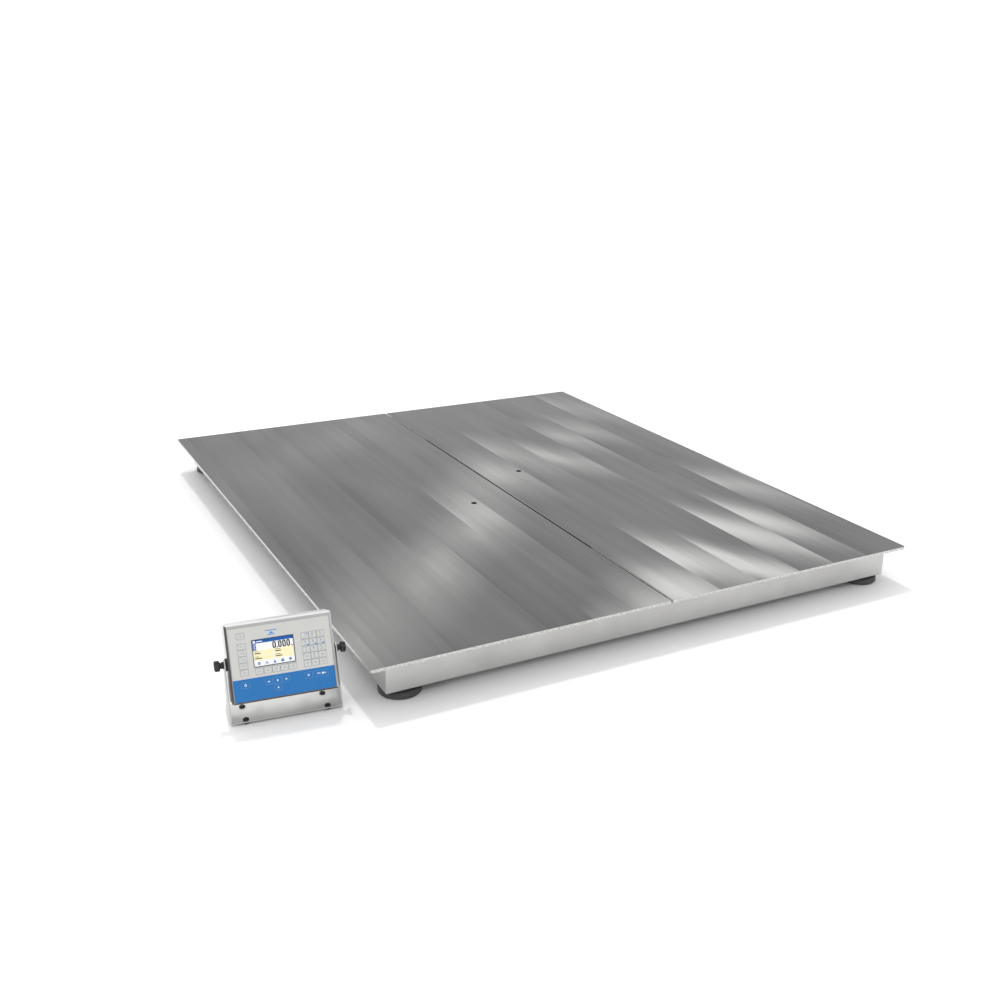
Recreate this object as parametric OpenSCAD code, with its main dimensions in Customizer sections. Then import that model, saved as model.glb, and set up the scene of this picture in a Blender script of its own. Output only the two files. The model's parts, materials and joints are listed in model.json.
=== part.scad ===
// Livestock floor scale: a low stainless platform with a deck in two
// halves, on four load-cell feet, and a separate tilting indicator.
// All sizes in millimetres. The floor is z = 0 and +Y runs away from the front.

/* [Deck] */
// Width of the whole deck, both halves together
deck_w = 1250; // [1200:50:1400]
// Length of the deck from front to rear
deck_l = 1500; // [1450:50:1800]
// Height of the walking surface above the floor
deck_h = 84; // [84:1:90]
// Thickness of the deck plate
plate_t = 6; // [5:1:8]
// Gap between the two halves
split_gap = 4; // [3:1:8]
// Radius of the tapped lifting hole in each half
lift_r = 6; // [5:1:8]
// Distance of a lifting hole from the centre line
lift_x = 105; // [90:5:140]
// Distance of a lifting hole from mid-length
lift_y = 83; // [70:1:100]

/* [Frame] */
// How far the deck overhangs the frame on each side
side_over = 36; // [30:1:40]
// How far the deck overhangs the frame at the front and the rear
end_over = 25; // [20:1:30]
// Height of the frame's folded sides
frame_h = 60; // [60:1:62]
// Sheet thickness of the folded frame
sheet_t = 3; // [2:0.5:4]
// Width of the centre beam
beam_w = 80; // [70:5:100]

/* [Feet] */
// Radius of a rubber foot
foot_r = 40; // [35:1:42]
// Radius of a foot's threaded stud
stud_r = 8; // [6:1:10]

/* [Indicator] */
// Width of the indicator's housing
ind_w = 181; // [178:1:182]
// Height of the indicator's housing
ind_h = 135; // [132:1:137]
// Depth of the housing's rear shell
ind_d = 40; // [34:1:44]
// Angle by which the housing leans back
ind_tilt = 21; // [0:1:35]
// Turn of the indicator about the vertical
ind_yaw = -7; // [-30:1:30]
// Position of the indicator, left to right
ind_x = -633; // [-700:1:-625]
// Position of the indicator, front to rear
ind_y = -660; // [-700:1:600]

/* [Hidden] */
// the deck's centre stands to the right of the origin, which is the
// centre of the platform and the indicator together
deck_cx = 120;
hw = deck_w / 2;
hl = deck_l / 2;
plate_z = deck_h - plate_t;
seal_t = 2;
frame_top = plate_z - seal_t;
frame_z = frame_top - frame_h;
fx = hw - side_over;
fy = hl - end_over;
flange_w = 90;
end_flange_w = 60;
member_y = [-435, -145, 145, 435];
rib_y = [-580, -290, 0, 290, 580];
foot_x = hw - 75;
foot_y = hl - 58;
cell_z = 31;
cell_h = 32;
cell_w = 32;
cell_out = 20;
cell_len = 130;
block_t = frame_top - sheet_t - cell_z - cell_h;
pin_r = 4;
pin_x = fx + 9;
pin_z = frame_top - 7;
hinge_y = [-600, 0, 600];
lead_x = 480;
lead_z = 40;
lead_y = 90;
lead_r = 2.5;
run = 0.05;
jb_x0 = beam_w / 2;
jb_l = 70;
jb_w = 100;
jb_z = 20;
jb_h = 26;
// indicator: bracket, face and shell
pivot_y = 5;
pivot_z = 97;
arm_x = 94;
arm_t = 2;
foot_d = 70;
bumper_x = 70;
bumper_y = [-28, 17];
face_y = -20;
shell_y = -12;
back_y = shell_y + ind_d;
// printed sheet, its window and its keys, measured from the face's centre
ov_w = 172;
ov_h = 124.5;
ov_z = -2.2;
win = [-13, 13.2, 70, 46];
key_gap = 0.4;
side_x = -65.5;
side_z = [46, 28.3, 17.2, 6.1, -5, -16.1];
side_size = [13.4, 9.8];
soft_x = [-40.2, -26.2, -12.2, 1.8, 15.8];
soft_z = -17.2;
soft_size = [13, 10.2];
num_x = [41.6, 54.9, 68.2];
num_z = [31, 19.1, 7.2, -4.7, -16.6];
num_size = [12.5, 11];
strip_h = 11.4;
// x, z and width of the keys on the coloured strip: power, left, up, right,
// down, escape, enter
strip_keys = [
  [-65.8, -37, 15.5], [-27, -37, 13.8], [-12.4, -37, 13.8], [2.2, -37, 13.8],
  [-12.4, -49.2, 13.8], [40.4, -37, 14.2], [61.6, -37, 26.4]
];

$fn = 48;

// ---------- helpers ----------

// flat rounded rectangle about the origin
module rrect(w, h, r) {
  union() {
    square([w - 2 * r, h], center = true);
    square([w, h - 2 * r], center = true);
    for (sx = [-1, 1], sy = [-1, 1])
      translate([sx * (w / 2 - r), sy * (h / 2 - r)]) circle(r = r);
  }
}

// the platform's own place
module at_deck() { translate([deck_cx, 0, 0]) children(); }

// the four corners: sx = -1 is the left, sy = -1 is the front
module at_corner(sx, sy) {
  translate([deck_cx + sx * foot_x, sy * foot_y, 0]) children();
}

// the indicator's stand: origin on the floor under the bracket's middle
module at_stand() { translate([ind_x, ind_y, 0]) rotate([0, 0, ind_yaw]) children(); }

// the indicator's head: origin at the pivot, -Y out of the face
module at_head() {
  at_stand() translate([0, pivot_y, pivot_z]) rotate([-ind_tilt, 0, 0]) children();
}

// extrude a face outline (x, z) from y0 back to y1
module slab(y0, y1) {
  translate([0, y1, 0]) rotate([90, 0, 0]) linear_extrude(height = y1 - y0) children();
}

// ---------- deck ----------

// the left half: plate with its two outer corners rounded, and the lifting hole
module half_plate() {
  translate([0, 0, plate_z]) linear_extrude(height = plate_t) difference() {
    union() {
      translate([-hw + 5, -hl]) square([hw - 5 - split_gap / 2, deck_l]);
      translate([-hw, -hl + 5]) square([20, deck_l - 10]);
      for (s = [-1, 1]) translate([-hw + 5, s * (hl - 5)]) circle(r = 5);
    }
    translate([-lift_x, -lift_y]) circle(r = lift_r);
  }
}
module half_stiffeners() {
  for (y = rib_y) {
    x0 = -(fx - flange_w - 11);
    len = -x0 - beam_w / 2 - 8;
    translate([x0, y - 2, plate_z - 26]) cube([len, 4, 26]);
    translate([x0, y + 2, plate_z - 4]) cube([len, 26, 4]);
  }
  translate([-lift_x, -lift_y, plate_z - 18]) difference() {
    cylinder(h = 18, r = 14);
    translate([0, 0, -1]) cylinder(h = 20, r = lift_r);
  }
}
module deck_left() { color([0.66, 0.67, 0.67]) at_deck() half_plate(); }
module deck_right() { color([0.66, 0.67, 0.67]) at_deck() rotate([0, 0, 180]) half_plate(); }
module deck_stiffeners_left() { color([0.6, 0.61, 0.61]) at_deck() half_stiffeners(); }
module deck_stiffeners_right() {
  color([0.6, 0.61, 0.61]) at_deck() rotate([0, 0, 180]) half_stiffeners();
}

// ---------- frame ----------

// folded side rail: upright wall, top flange and a short bottom lip
module side_rail() {
  difference() {
    union() {
      translate([fx - sheet_t, -fy + sheet_t, frame_z]) cube([sheet_t, 2 * (fy - sheet_t), frame_h]);
      translate([fx - flange_w, -fy + sheet_t, frame_top - sheet_t])
        cube([flange_w, 2 * (fy - sheet_t), sheet_t]);
      translate([fx - 28, -580, frame_z]) cube([28, 1160, sheet_t]);
    }
  }
}
module frame_side_rails() {
  color([0.72, 0.73, 0.73]) at_deck() {
    side_rail();
    rotate([0, 0, 180]) side_rail();
  }
}
module end_rail() {
  difference() {
    union() {
      translate([-fx, fy - sheet_t, frame_z]) cube([2 * fx, sheet_t, frame_h]);
      translate([-(fx - flange_w), fy - end_flange_w, frame_top - sheet_t])
        cube([2 * (fx - flange_w), end_flange_w, sheet_t]);
      translate([-470, fy - 28, frame_z]) cube([940, 28, sheet_t]);
    }
    translate([200, fy + 1, 46]) rotate([90, 0, 0]) cylinder(h = sheet_t + 2, r = 8.1);
  }
}
module plain_end_rail() {
  translate([-fx, fy - sheet_t, frame_z]) cube([2 * fx, sheet_t, frame_h]);
  translate([-(fx - flange_w), fy - end_flange_w, frame_top - sheet_t])
    cube([2 * (fx - flange_w), end_flange_w, sheet_t]);
  translate([-470, fy - 28, frame_z]) cube([940, 28, sheet_t]);
}
module frame_end_rails() {
  color([0.72, 0.73, 0.73]) at_deck() {
    end_rail();
    rotate([0, 0, 180]) union() { plain_end_rail(); }
  }
}
// box beam under the split, with a raised cap between the end flanges
module centre_beam() {
  y1 = fy - sheet_t;
  top = frame_top - sheet_t;
  color([0.62, 0.63, 0.63]) at_deck() difference() {
    union() {
      translate([-beam_w / 2, -y1, frame_z + sheet_t]) cube([beam_w, 2 * y1, top - frame_z - sheet_t]);
      translate([-beam_w / 2, -(fy - end_flange_w), top - 1])
        cube([beam_w, 2 * (fy - end_flange_w), sheet_t + 1]);
    }
    translate([-beam_w / 2 + sheet_t, -y1 - 1, frame_z + 2 * sheet_t])
      cube([beam_w - 2 * sheet_t, 2 * y1 + 2, top - frame_z - 3 * sheet_t]);
    for (s = [-1, 1]) translate([-beam_w, s * lead_y, lead_z]) rotate([0, 90, 0])
      cylinder(h = 2 * beam_w, r = 8);
  }
}
// inverted U section from the centre beam to a side wall
module member() {
  x0 = beam_w / 2;
  x1 = fx - sheet_t;
  xf = fx - flange_w;
  zt = frame_top - sheet_t;
  difference() {
    union() {
      translate([x0, -20, 22]) cube([x1 - x0, 40, zt - 22]);
      translate([x0, -20, zt - 1]) cube([xf - x0, 40, sheet_t + 1]);
    }
    translate([x0 - 1, -20 + sheet_t, 21]) cube([x1 - x0 + 2, 40 - 2 * sheet_t, zt - 21 - sheet_t]);
    translate([lead_x, -30, lead_z]) rotate([-90, 0, 0]) cylinder(h = 60, r = 8);
    // the side rail's bottom lip passes under the member's end
    translate([fx - 30, -30, 15]) cube([40, 60, 10]);
  }
}
module cross_members() {
  color([0.62, 0.63, 0.63]) at_deck()
    for (y = member_y) {
      translate([0, y, 0]) member();
      translate([0, y, 0]) mirror([1, 0, 0]) member();
    }
}
// flat rubber strips that the closed halves lie on
module deck_seal() {
  color([0.1, 0.1, 0.1]) at_deck() {
    for (s = [-1, 1]) {
      translate([s * (fx - 19) - 10, -(fy - 10), frame_top]) cube([20, 2 * (fy - 10), seal_t]);
      translate([-(fx - 30), s * (fy - 20) - 10, frame_top]) cube([fx - 30 - 30, 20, seal_t]);
      translate([30, s * (fy - 20) - 10, frame_top]) cube([fx - 30 - 30, 20, seal_t]);
      translate([s * 18 - 10, -(fy - end_flange_w - 5), frame_top])
        cube([20, 2 * (fy - end_flange_w - 5), seal_t]);
    }
  }
}

// ---------- hinges under the outer overhangs ----------

module frame_leaf() {
  translate([fx, -37, frame_top - 30]) cube([1.5, 74, 28]);
  for (s = [-1, 1]) translate([0, s * 28 - 9, 0]) difference() {
    union() {
      translate([pin_x, 0, pin_z]) rotate([-90, 0, 0]) cylinder(h = 18, r = 7);
      translate([fx, 0, pin_z - 7]) cube([9, 18, 7]);
    }
    translate([pin_x, -1, pin_z]) rotate([-90, 0, 0]) cylinder(h = 20, r = pin_r + run);
  }
}
module deck_leaf() {
  difference() {
    union() {
      translate([pin_x, -18.4, pin_z]) rotate([-90, 0, 0]) cylinder(h = 36.8, r = 7);
      translate([pin_x - 7, -18.4, pin_z]) cube([14, 36.8, plate_z - pin_z]);
      translate([pin_x - 7, -18.4, plate_z - 3]) cube([28, 36.8, 3]);
    }
    translate([pin_x, -20, pin_z]) rotate([-90, 0, 0]) cylinder(h = 40, r = pin_r + run);
  }
}
module hinge_frame_leaves() {
  color([0.6, 0.6, 0.6]) at_deck() for (a = [0, 180], y = hinge_y)
    rotate([0, 0, a]) translate([0, y, 0]) frame_leaf();
}
module hinge_pins() {
  color([0.75, 0.75, 0.75]) at_deck() for (a = [0, 180], y = hinge_y)
    rotate([0, 0, a]) translate([pin_x, y - 39, pin_z]) rotate([-90, 0, 0]) {
      cylinder(h = 78, r = pin_r);
      translate([0, 0, 78]) cylinder(h = 2, r = 6);
      translate([0, 0, -2]) cylinder(h = 2, r = 6);
    }
}
module hinge_deck_leaves_right() {
  color([0.6, 0.6, 0.6]) at_deck() for (y = hinge_y) translate([0, y, 0]) deck_leaf();
}
module hinge_deck_leaves_left() {
  color([0.6, 0.6, 0.6]) at_deck() rotate([0, 0, 180])
    for (y = hinge_y) translate([0, y, 0]) deck_leaf();
}

// ---------- load cells ----------

// every corner is drawn as the right rear one, mirrored into place
module corners() {
  for (sx = [-1, 1], sy = [-1, 1]) at_corner(sx, sy)
    mirror([sx < 0 ? 1 : 0, 0, 0]) mirror([0, sy < 0 ? 1 : 0, 0]) children();
}
// shear beam, fixed at its inner end and tapped for the foot at its outer end
module load_cell() {
  difference() {
    translate([-cell_w / 2, cell_out - cell_len, cell_z]) cube([cell_w, cell_len, cell_h]);
    translate([0, 0, cell_z - 1]) cylinder(h = cell_h + 2, r = stud_r + run);
    for (y = [-67, -94]) translate([0, y, cell_z - 1]) cylinder(h = cell_h + 2, r = 6.5);
    for (s = [-1, 1]) translate([s * 13, -33, cell_z + cell_h / 2]) rotate([0, 90, 0])
      cylinder(h = 10, r = 11, center = true);
  }
}
module load_cells() { color([0.8, 0.8, 0.8]) corners() load_cell(); }
module cell_blocks() {
  color([0.62, 0.63, 0.63]) corners() difference() {
    translate([-cell_w / 2, cell_out - cell_len, cell_z + cell_h]) cube([cell_w, 56, block_t]);
    for (y = [-67, -94]) translate([0, y, cell_z + cell_h - 1]) cylinder(h = block_t, r = 6 + run);
  }
}
module cell_bolts() {
  color([0.5, 0.5, 0.52]) corners() for (y = [-67, -94]) translate([0, y, 0]) {
    translate([0, 0, cell_z - 10]) cylinder(h = 10, r = 9);
    translate([0, 0, cell_z]) cylinder(h = cell_h + block_t - 2, r = 6);
  }
}

// ---------- feet ----------

module foot_pad() {
  rotate_extrude($fn = 96) polygon([
    [0, 0], [foot_r - 2, 0], [foot_r, 2], [foot_r, 9], [foot_r - 3, 11.5],
    [20, 15], [stud_r + 0.06, 15], [stud_r + 0.06, 6], [0, 6]
  ]);
}
module foot_stud() {
  union() {
    translate([0, 0, 6]) cylinder(h = 52, r = stud_r);
    translate([0, 0, 17]) cylinder(h = 9, r = 13.8, $fn = 6);
    translate([0, 0, 15.4]) cylinder(h = 2, r = 12);
  }
}
module foot_pad_front_left() { color([0.08, 0.08, 0.08]) at_corner(-1, -1) foot_pad(); }
module foot_pad_front_right() { color([0.08, 0.08, 0.08]) at_corner(1, -1) foot_pad(); }
module foot_pad_rear_left() { color([0.08, 0.08, 0.08]) at_corner(-1, 1) foot_pad(); }
module foot_pad_rear_right() { color([0.08, 0.08, 0.08]) at_corner(1, 1) foot_pad(); }
module foot_stud_front_left() { color([0.7, 0.7, 0.7]) at_corner(-1, -1) foot_stud(); }
module foot_stud_front_right() { color([0.7, 0.7, 0.7]) at_corner(1, -1) foot_stud(); }
module foot_stud_rear_left() { color([0.7, 0.7, 0.7]) at_corner(-1, 1) foot_stud(); }
module foot_stud_rear_right() { color([0.7, 0.7, 0.7]) at_corner(1, 1) foot_stud(); }

// ---------- junction box and leads ----------

module junction_box() {
  color([0.7, 0.71, 0.71]) at_deck() translate([jb_x0, -jb_w / 2, jb_z]) difference() {
    cube([jb_l, jb_w, jb_h]);
    translate([2, 2, 2]) cube([jb_l - 4, jb_w - 4, jb_h]);
    for (x = [20, 50]) translate([x, -1, lead_z - jb_z]) rotate([-90, 0, 0])
      cylinder(h = jb_w + 2, r = 4.5);
    translate([jb_l - 3, jb_w / 2, lead_z - jb_z]) rotate([0, 90, 0]) cylinder(h = 5, r = 4.5);
  }
}
module junction_lid() {
  color([0.7, 0.71, 0.71]) at_deck() translate([jb_x0, -jb_w / 2, jb_z + jb_h]) union() {
    cube([jb_l, jb_w, 2]);
    for (x = [7, jb_l - 7], y = [7, jb_w - 7]) translate([x, y, 2]) cylinder(h = 1.5, r = 3.5);
  }
}
// cable gland along +Z: flange on the wall, hexagon and dome nut, bored through
module gland(r, bore, len) {
  difference() {
    union() {
      cylinder(h = len * 0.35, r = r * 1.15, $fn = 6);
      translate([0, 0, len * 0.35]) cylinder(h = len * 0.65, r = r * 0.86);
    }
    translate([0, 0, -1]) cylinder(h = len + 2, r = bore);
  }
}
module cable_glands() {
  color([0.12, 0.12, 0.12]) at_deck() {
    for (x = [20, 50], s = [-1, 1]) translate([jb_x0 + x, s * jb_w / 2, lead_z])
      rotate([s < 0 ? 90 : -90, 0, 0]) gland(6.5, lead_r + run, 16);
    translate([jb_x0 + jb_l, 0, lead_z]) rotate([0, 90, 0]) gland(6.5, 3.5, 16);
    translate([200, fy, 46]) rotate([-90, 0, 0]) gland(10, 4, 20);
    translate([200, fy - sheet_t, 46]) rotate([90, 0, 0]) gland(10, 4, 8);
  }
}
// quarter turn of lead of bend radius 15, from +X travel to +Y travel
module lead_bend() {
  translate([0, 15, 0]) rotate([0, 0, -90]) rotate_extrude(angle = 90, $fn = 48)
    translate([15, 0]) circle(r = lead_r, $fn = 24);
}
module lead_run(a, b) {
  d = b - a;
  len = norm(d);
  translate(a) rotate([0, acos(d[2] / len), atan2(d[1], d[0])]) cylinder(h = len, r = lead_r, $fn = 24);
}
// lead of the right rear cell: out of the cell's end, across to the run
// through the cross members, then along to the box
module lead_right_rear(gx) {
  y0 = foot_y + cell_out - cell_len;
  z = lead_z;
  x0 = foot_x;
  lead_run([x0, y0 - 7, z], [x0, y0, z]);
  translate([x0, y0 - 7, z]) rotate([0, 0, -90]) mirror([0, 1, 0]) lead_bend();
  lead_run([x0 - 15, y0 - 22, z], [lead_x + 15, y0 - 22, z]);
  translate([lead_x + 15, y0 - 22, z]) rotate([0, 0, 180]) lead_bend();
  lead_run([lead_x, y0 - 37, z], [lead_x, lead_y + 15, z]);
  translate([lead_x, lead_y + 15, z]) rotate([0, 0, -90]) mirror([0, 1, 0]) lead_bend();
  lead_run([lead_x - 15, lead_y, z], [gx + 15, lead_y, z]);
  translate([gx + 15, lead_y, z]) rotate([0, 0, 180]) lead_bend();
  lead_run([gx, lead_y - 15, z], [gx, jb_w / 2, z]);
}
module cell_leads() {
  color([0.15, 0.15, 0.15]) at_deck() {
    lead_right_rear(jb_x0 + 50);
    mirror([0, 1, 0]) lead_right_rear(jb_x0 + 50);
  }
  color([0.15, 0.15, 0.15]) at_deck() for (m = [0, 1]) mirror([0, m, 0]) lead_left_rear(jb_x0 + 20);
}
module lead_left_rear(gx) {
  y0 = foot_y + cell_out - cell_len;
  z = lead_z;
  x0 = -foot_x;
  lead_run([x0, y0 - 7, z], [x0, y0, z]);
  translate([x0, y0 - 7, z]) rotate([0, 0, -90]) lead_bend();
  lead_run([x0 + 15, y0 - 22, z], [-lead_x - 15, y0 - 22, z]);
  translate([-lead_x - 15, y0 - 22, z]) mirror([0, 1, 0]) lead_bend();
  lead_run([-lead_x, y0 - 37, z], [-lead_x, lead_y + 15, z]);
  translate([-lead_x, lead_y + 15, z]) rotate([0, 0, -90]) lead_bend();
  lead_run([-lead_x + 15, lead_y, z], [gx - 15, lead_y, z]);
  translate([gx - 15, lead_y, z]) mirror([0, 1, 0]) lead_bend();
  lead_run([gx, lead_y - 15, z], [gx, jb_w / 2, z]);
}

// ---------- indicator stand ----------

// bent sheet: base plate and two tapered arms
module ind_bracket() {
  color([0.74, 0.75, 0.75]) at_stand() difference() {
    union() {
      translate([0, 0, 3]) linear_extrude(height = 2) rrect(2 * (arm_x + arm_t), foot_d, 2);
      for (s = [0, 1]) mirror([s, 0, 0]) translate([arm_x, 0, 0]) rotate([90, 0, 90])
        linear_extrude(height = arm_t) union() {
          polygon([
            [2 - foot_d / 2, 3], [foot_d / 2 - 2, 3], [foot_d / 2 - 2, 6], [foot_d / 2 - 12, 8],
            [pivot_y + 9.8, pivot_z], [pivot_y - 9.8, pivot_z], [2 - foot_d / 2, 6]
          ]);
          translate([pivot_y, pivot_z]) circle(r = 10);
        }
    }
    translate([-120, pivot_y, pivot_z]) rotate([0, 90, 0]) cylinder(h = 240, r = 4.3);
    for (x = [-bumper_x, bumper_x], y = bumper_y) translate([x, y, 2]) cylinder(h = 4, r = 3.05);
  }
}
// rubber bumper pushed through each corner hole
module ind_bumpers() {
  color([0.07, 0.07, 0.07]) at_stand() for (x = [-bumper_x, bumper_x], y = bumper_y)
    translate([x, y, 0]) rotate_extrude() polygon([
      [0, 0], [6.5, 0], [7.5, 1], [7.5, 3], [3, 3], [3, 5], [5.2, 5], [5.2, 8], [4, 10], [2, 10.5], [0, 10.5]
    ]);
}

// ---------- indicator head ----------

// pressed rear shell, open to the front, with bosses for the knobs and the board
module ind_housing() {
  color([0.7, 0.71, 0.71]) at_head() difference() {
    union() {
      difference() {
        slab(shell_y, back_y) rrect(ind_w, ind_h, 3);
        slab(shell_y - 1, back_y - 2) rrect(ind_w - 4, ind_h - 4, 1.5);
      }
      for (s = [-1, 1]) translate([s * (ind_w / 2 - 7.5), 0, 0]) rotate([0, 90, 0])
        cylinder(h = 13, r = 8, center = true);
      for (x = [-68, 68], z = [-46, 46]) translate([x, back_y - 1, z]) rotate([90, 0, 0])
        cylinder(h = back_y - 1 + 9.9, r = 4);
    }
    for (s = [-1, 1]) translate([s * (ind_w / 2 - 7), 0, 0]) rotate([0, 90, 0])
      cylinder(h = 18, r = 4 + run, center = true);
    for (x = [-40, 0, 40]) translate([x, back_y + 1, -42]) rotate([90, 0, 0]) cylinder(h = 4, r = 6);
  }
}
// flat front frame with a ledge behind the printed sheet
module ind_bezel() {
  color([0.76, 0.77, 0.77]) at_head() union() {
    slab(face_y, shell_y) difference() {
      rrect(ind_w, ind_h, 2);
      translate([0, ov_z]) rrect(ov_w + 0.6, ov_h + 0.6, 1.5);
    }
    slab(face_y + 2.5, shell_y) difference() {
      translate([0, ov_z]) rrect(ov_w + 2, ov_h + 2, 2);
      translate([0, ov_z]) rrect(ov_w - 6, ov_h - 6, 2);
    }
  }
}
// outline of one key, grown all round by g
module key_shape(size, g = 0) { rrect(size[0] + g, size[1] + g, 1.2); }
module key_holes() {
  for (z = side_z) translate([side_x, z]) key_shape(side_size, key_gap);
  for (x = soft_x) translate([x, soft_z]) key_shape(soft_size, key_gap);
  for (x = num_x, z = num_z) translate([x, z]) key_shape(num_size, key_gap);
  for (k = strip_keys) translate([k[0], k[1]]) key_shape([k[2], strip_h], key_gap);
}
// printed front sheet with an opening for every key and for the window
module ind_overlay() {
  color([0.78, 0.77, 0.73]) at_head() slab(face_y + 0.4, face_y + 2.5) difference() {
    translate([0, ov_z]) rrect(ov_w, ov_h, 1.3);
    key_holes();
    translate([win[0], win[1]]) rrect(win[2] + 0.4, win[3] + 0.4, 1.2);
  }
}
module ind_window() {
  color([0.1, 0.35, 0.7, 0.6]) at_head() slab(face_y + 0.3, face_y + 1.8)
    translate([win[0], win[1]]) rrect(win[2], win[3], 1);
}
module ind_display() {
  color([0.1, 0.12, 0.15]) at_head() slab(face_y + 2.6, shell_y + 0.5)
    translate([win[0], win[1]]) square([win[2] + 10, win[3] + 10], center = true);
}
module ind_board() {
  color([0.1, 0.4, 0.2]) at_head() slab(shell_y + 0.5, shell_y + 2.1) difference() {
    square([150, 106], center = true);
    for (x = [-68, 68], z = [-46, 46]) translate([x, z]) circle(r = 1.6);
  }
}
module ind_glands() {
  color([0.1, 0.1, 0.1]) at_head() for (x = [-40, 0, 40]) translate([x, back_y, -42])
    rotate([-90, 0, 0]) gland(8, 3, 16);
}
module ind_screws() {
  color([0.6, 0.6, 0.6]) at_head() for (x = [-80, 80], z = [-57, 57])
    translate([x, back_y, z]) rotate([-90, 0, 0]) cylinder(h = 2, r = 3.2);
}
// thick washer between the housing and each arm
module pivot_washers() {
  color([0.2, 0.2, 0.2]) at_head() for (s = [-1, 1])
    translate([s * (ind_w / 2 + 0.05 + 1.65), 0, 0]) rotate([0, 90, 0]) difference() {
      cylinder(h = 3.3, r = 11, center = true);
      cylinder(h = 5, r = 4.3, center = true);
    }
}
// lobed clamping knob with its stud along -X
module knob() {
  x0 = arm_x + arm_t + 0.5;
  translate([-x0, 0, 0]) rotate([0, -90, 0]) union() {
    cylinder(h = 4, r = 6.5);
    translate([0, 0, 3.5]) difference() {
      union() {
        cylinder(h = 12, r = 8);
        for (a = [0 : 60 : 300]) rotate([0, 0, a]) translate([7.2, 0, 0]) cylinder(h = 12, r = 2.9, $fn = 32);
      }
      translate([0, 0, 11]) cylinder(h = 2, r = 5);
    }
  }
  translate([-x0 - 1, 0, 0]) rotate([0, 90, 0]) cylinder(h = x0 - 74, r = 4);
}
module knob_left() { color([0.06, 0.06, 0.06]) at_head() knob(); }
module knob_right() { color([0.06, 0.06, 0.06]) at_head() rotate([0, 180, 0]) knob(); }

// ---------- keys ----------

module key(x, z, size) {
  at_head() slab(face_y - 0.1, face_y + 1.9) translate([x, z]) key_shape(size);
}
module key_side(i) { color([0.9, 0.9, 0.88]) key(side_x, side_z[i], side_size); }
module key_soft(i) { color([0.9, 0.9, 0.88]) key(soft_x[i], soft_z, soft_size); }
module key_strip(i) {
  k = strip_keys[i];
  color([0.2, 0.5, 0.8]) key(k[0], k[1], [k[2], strip_h]);
}
module keys_numeric() {
  color([0.9, 0.9, 0.88]) for (x = num_x, z = num_z) key(x, z, num_size);
}

deck_left();
deck_right();
deck_stiffeners_left();
deck_stiffeners_right();
frame_side_rails();
frame_end_rails();
centre_beam();
cross_members();
deck_seal();
hinge_frame_leaves();
hinge_pins();
hinge_deck_leaves_left();
hinge_deck_leaves_right();
load_cells();
cell_blocks();
cell_bolts();
foot_pad_front_left();
foot_pad_front_right();
foot_pad_rear_left();
foot_pad_rear_right();
foot_stud_front_left();
foot_stud_front_right();
foot_stud_rear_left();
foot_stud_rear_right();
junction_box();
junction_lid();
cable_glands();
cell_leads();
ind_bracket();
ind_bumpers();
ind_housing();
ind_bezel();
ind_overlay();
ind_window();
ind_display();
ind_board();
ind_glands();
ind_screws();
pivot_washers();
knob_left();
knob_right();
key_side(0);  // key_side_1
key_side(1);  // key_side_2
key_side(2);  // key_side_3
key_side(3);  // key_side_4
key_side(4);  // key_side_5
key_side(5);  // key_side_6
key_soft(0);  // key_soft_1
key_soft(1);  // key_soft_2
key_soft(2);  // key_soft_3
key_soft(3);  // key_soft_4
key_soft(4);  // key_soft_5
key_strip(0);  // key_power
key_strip(1);  // key_left
key_strip(2);  // key_up
key_strip(3);  // key_right
key_strip(4);  // key_down
key_strip(5);  // key_escape
key_strip(6);  // key_enter
keys_numeric();
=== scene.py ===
"""Looks of the livestock floor scale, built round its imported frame."""
import json
import math

import bmesh
import bpy
import numpy as np
from mathutils import Matrix, Vector


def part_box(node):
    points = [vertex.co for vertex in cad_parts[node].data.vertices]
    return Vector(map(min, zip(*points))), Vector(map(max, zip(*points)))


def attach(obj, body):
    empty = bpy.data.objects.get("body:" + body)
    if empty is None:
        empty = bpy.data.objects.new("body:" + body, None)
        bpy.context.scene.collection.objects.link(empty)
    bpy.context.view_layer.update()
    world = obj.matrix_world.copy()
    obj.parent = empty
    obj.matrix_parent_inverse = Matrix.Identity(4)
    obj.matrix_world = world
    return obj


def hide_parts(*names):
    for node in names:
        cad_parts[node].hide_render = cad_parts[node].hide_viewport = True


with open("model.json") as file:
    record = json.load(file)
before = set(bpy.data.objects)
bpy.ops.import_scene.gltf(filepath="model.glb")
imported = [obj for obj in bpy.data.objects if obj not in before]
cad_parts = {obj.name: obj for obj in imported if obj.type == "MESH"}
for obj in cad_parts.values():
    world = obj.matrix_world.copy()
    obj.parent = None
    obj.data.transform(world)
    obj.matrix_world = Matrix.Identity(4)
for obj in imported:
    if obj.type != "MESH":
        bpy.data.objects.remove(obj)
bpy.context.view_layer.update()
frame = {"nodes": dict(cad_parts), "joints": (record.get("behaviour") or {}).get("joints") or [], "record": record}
NODES = frame["nodes"]
JOINTS = {j["name"]: j for j in frame["joints"]}
MM = 0.001


def box(*names):
    """The common box of several CAD nodes, in metres."""
    lo = Vector([min(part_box(n)[0][i] for n in names) for i in range(3)])
    hi = Vector([max(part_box(n)[1][i] for n in names) for i in range(3)])
    return lo, hi


DECK_LO, DECK_HI = box("deck_left", "deck_right")
DECK_MID = (DECK_LO + DECK_HI) / 2
MOUNTS = {m["name"]: m for m in frame["record"]["mounts"]}
HOLES = [MOUNTS["lifting_hole_" + side]["pos_m"][:2] for side in ("left", "right")]

# ---------------------------------------------------------------- camera


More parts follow.
